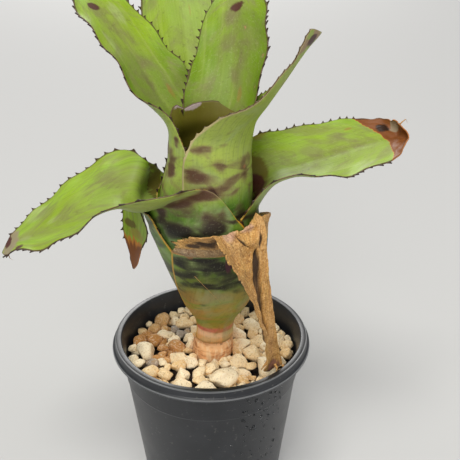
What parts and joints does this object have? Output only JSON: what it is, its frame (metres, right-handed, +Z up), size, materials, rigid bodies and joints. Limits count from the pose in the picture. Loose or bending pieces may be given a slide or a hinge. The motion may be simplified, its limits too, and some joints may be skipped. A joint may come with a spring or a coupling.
{
  "type": "potted canistrum",
  "caption": "Tubular bromeliad with arching, finely toothed strap leaves and one dry leaf, in a round tapered nursery pot topped with pale pumice gravel.",
  "frame": {"origin": "centre of the pot's underside, on the surface that the pot stands on", "axes": "+Z up along the pot's axis; +X to the right and +Y away, seen from the side of the dry front leaf"},
  "size_m": [0.2344, 0.161, 0.3108],
  "materials": {
    "pot_plastic": "satin",
    "potting_mix": "matte",
    "pumice": "matte",
    "stem_bark": "matte",
    "dry_leaf": "matte",
    "green_leaf": "satin",
    "heart_leaf": "satin"
  },
  "bodies": {
    "root": {"pot": "pot_plastic", "potting_mix": "potting_mix", "pumice_gravel": "pumice", "stem": "stem_bark", "leaf_dead_front": "dry_leaf", "leaf_hanging_left": "green_leaf", "leaf_left": "green_leaf", "leaf_right": "green_leaf", "leaf_upper_back": "green_leaf", "leaf_front_channelled": "green_leaf", "leaf_upper_left": "green_leaf", "leaf_upper_right": "green_leaf", "leaf_heart": "heart_leaf"}
  },
  "joints": []
}
